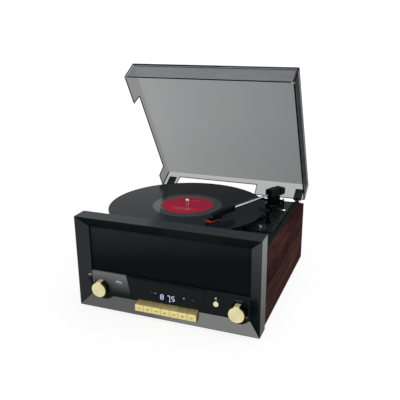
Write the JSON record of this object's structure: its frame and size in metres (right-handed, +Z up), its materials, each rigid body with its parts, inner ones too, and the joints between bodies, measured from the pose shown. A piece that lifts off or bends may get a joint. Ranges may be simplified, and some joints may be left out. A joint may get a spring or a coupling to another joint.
{
  "type": "stereo music centre",
  "caption": "Wood-sided music centre: record deck with hinged smoked lid over a disc drawer, keys, knobs and display in a bevelled front frame.",
  "frame": {"origin": "middle of the cabinet's outline (front plane to the back edge of the sides, side to side), at the height of the table under the feet", "axes": "+Z up; -Y out of the front, the way the headphone jack faces; +X to the viewer's right"},
  "size_m": [0.353, 0.3792, 0.3991],
  "materials": {
    "frame_plastic": "satin charcoal moulding",
    "cloth": "black stretched cloth",
    "driver": "grey basket and magnet",
    "fascia_gloss": "glossy black",
    "lens": "dark tinted lens",
    "board": "green circuit board",
    "veneer": "dark red-brown wood grain, satin",
    "board_wood": "raw fibreboard",
    "black_plastic": "black moulding",
    "rubber": "black rubber",
    "steel": "bright steel",
    "gold": "gold plated",
    "gold_key": "gold plated",
    "white_plastic": "off-white moulding",
    "iron": "laminated core, varnished",
    "deck_plastic": "black, lightly textured",
    "felt": "black felt",
    "vinyl": "grooved black vinyl",
    "brass": "turned brass",
    "tube_metal": "polished tube",
    "red_plastic": "red moulding",
    "smoked": "smoked, polished",
    "clear_rubber": "clear soft pad"
  },
  "bodies": {
    "cabinet": {"front_frame": "frame_plastic", "speaker_grille": "cloth", "speakers": "driver", "control_fascia": "fascia_gloss", "display_window": "lens", "control_board": "board", "left_side_panel": "veneer", "right_side_panel": "veneer", "bottom_board": "board_wood", "back_panel": "black_plastic", "rubber_feet": "rubber", "cabinet_screws": "steel", "headphone_jack": "black_plastic", "usb_socket": "steel", "cd_chassis": "black_plastic", "main_board": "board", "transformer": "iron", "mains_inlet": "black_plastic", "line_out_sockets": "steel", "deck_plate": "deck_plastic", "tonearm_plinth": "deck_plastic", "spindle": "steel", "drive_motor": "steel", "drive_belt": "rubber", "arm_turret": "black_plastic", "arm_rest": "black_plastic", "hinge_brackets": "black_plastic"},
    "volume": {"volume_knob": "gold", "volume_shaft": "steel"},
    "tuning": {"tuning_knob": "gold", "tuning_shaft": "steel"},
    "key_source": {"key_source": "gold_key"},
    "key_mode": {"key_mode": "gold_key"},
    "key_previous": {"key_previous": "gold_key"},
    "key_next": {"key_next": "gold_key"},
    "key_play": {"key_play": "gold_key"},
    "key_stop": {"key_stop": "gold_key"},
    "key_standby": {"key_standby": "gold_key"},
    "eject": {"eject_button": "gold"},
    "tray": {"cd_tray": "black_plastic", "cd_drawer_front": "fascia_gloss"},
    "hub": {"cd_hub": "white_plastic"},
    "sled": {"laser_sled": "black_plastic"},
    "turntable": {"platter": "black_plastic", "slipmat": "felt", "record": "vinyl"},
    "pulley": {"motor_pulley": "brass"},
    "yoke": {"arm_yoke": "black_plastic"},
    "tonearm": {"arm_tube": "tube_metal", "counterweight": "black_plastic", "headshell": "black_plastic", "cartridge": "black_plastic", "stylus": "red_plastic"},
    "clip": {"arm_clip": "black_plastic"},
    "lever": {"cue_lever": "black_plastic"},
    "lift": {"lift_bar": "black_plastic"},
    "speed": {"speed_lever": "steel"},
    "lid": {"lid": "smoked", "lid_hinge_arms": "black_plastic", "lid_bumpers": "clear_rubber"}
  },
  "joints": [
    {"name": "volume_turn", "type": "hinge", "parent": "cabinet", "child": "volume", "pos_m": [0.123, -0.1555, 0.039], "axis": [0, 1, 0], "range_deg": [-150, 150]},
    {"name": "tuning_turn", "type": "hinge", "parent": "cabinet", "child": "tuning", "pos_m": [-0.123, -0.1555, 0.039], "axis": [0, 1, 0], "continuous": true},
    {"name": "key_source_press", "type": "slide", "parent": "cabinet", "child": "key_source", "axis": [0, 1, 0], "range_m": [0, 0.0012], "stiffness_N_per_m": 400, "springref_m": -0.0005},
    {"name": "key_mode_press", "type": "slide", "parent": "cabinet", "child": "key_mode", "axis": [0, 1, 0], "range_m": [0, 0.0012], "stiffness_N_per_m": 400, "springref_m": -0.0005},
    {"name": "key_previous_press", "type": "slide", "parent": "cabinet", "child": "key_previous", "axis": [0, 1, 0], "range_m": [0, 0.0012], "stiffness_N_per_m": 400, "springref_m": -0.0005},
    {"name": "key_next_press", "type": "slide", "parent": "cabinet", "child": "key_next", "axis": [0, 1, 0], "range_m": [0, 0.0012], "stiffness_N_per_m": 400, "springref_m": -0.0005},
    {"name": "key_play_press", "type": "slide", "parent": "cabinet", "child": "key_play", "axis": [0, 1, 0], "range_m": [0, 0.0012], "stiffness_N_per_m": 400, "springref_m": -0.0005},
    {"name": "key_stop_press", "type": "slide", "parent": "cabinet", "child": "key_stop", "axis": [0, 1, 0], "range_m": [0, 0.0012], "stiffness_N_per_m": 400, "springref_m": -0.0005},
    {"name": "key_standby_press", "type": "slide", "parent": "cabinet", "child": "key_standby", "axis": [0, 1, 0], "range_m": [0, 0.0012], "stiffness_N_per_m": 400, "springref_m": -0.0005},
    {"name": "eject_press", "type": "slide", "parent": "cabinet", "child": "eject", "axis": [0, 1, 0], "range_m": [0, 0.0012], "stiffness_N_per_m": 400, "springref_m": -0.0005},
    {"name": "tray_slide", "type": "slide", "parent": "cabinet", "child": "tray", "axis": [0, -1, 0], "range_m": [0, 0.125]},
    {"name": "hub_spin", "type": "hinge", "parent": "cabinet", "child": "hub", "pos_m": [0, -0.0878, 0.045], "axis": [0, 0, 1], "continuous": true},
    {"name": "sled_travel", "type": "slide", "parent": "cabinet", "child": "sled", "axis": [0, 1, 0], "range_m": [0, 0.028]},
    {"name": "platter_spin", "type": "hinge", "parent": "cabinet", "child": "turntable", "pos_m": [-0.041, 0.0355, 0.125], "axis": [0, 0, -1], "continuous": true},
    {"name": "pulley_spin", "type": "hinge", "parent": "cabinet", "child": "pulley", "pos_m": [0, -0.03551, 0.117], "axis": [0, 0, -1], "continuous": true},
    {"name": "arm_swing", "type": "hinge", "parent": "cabinet", "child": "yoke", "pos_m": [0.108, 0.1195, 0.135], "axis": [0, 0, 1], "range_deg": [-19, 31.6]},
    {"name": "arm_lift", "type": "hinge", "parent": "yoke", "child": "tonearm", "pos_m": [0.108, 0.1195, 0.152], "axis": [-0.9164, 0.4003, 0], "range_deg": [0, 2.03]},
    {"name": "cue_raise", "type": "hinge", "parent": "cabinet", "child": "lever", "pos_m": [0.124, 0.1165, 0.138], "axis": [-0.9397, -0.342, 0], "range_deg": [0, 40]},
    {"name": "lift_rise", "type": "slide", "parent": "cabinet", "child": "lift", "axis": [0, 0, 1], "range_m": [0, 0.0012]},
    {"name": "clip_fold", "type": "hinge", "parent": "cabinet", "child": "clip", "pos_m": [0.12662, 0.02618, 0.15555], "axis": [-0.1392, 0.9903, 0], "range_deg": [-180, 0]},
    {"name": "speed_turn", "type": "hinge", "parent": "cabinet", "child": "speed", "pos_m": [0.114, -0.0005, 0.123], "axis": [0, 0, 1], "range_deg": [-20, 20]},
    {"name": "lid_hinge", "type": "hinge", "parent": "cabinet", "child": "lid", "pos_m": [0, 0.173, 0.1165], "axis": [-1, 0, 0], "range_deg": [-59, 0]}
  ],
  "couplings": [
    {"joint": "pulley_spin", "follows": "platter_spin", "ratio": 14.8},
    {"joint": "arm_lift", "follows": "cue_raise", "ratio": 0.050555},
    {"joint": "lift_rise", "follows": "cue_raise", "m_per_rad": 0.0017189}
  ]
}
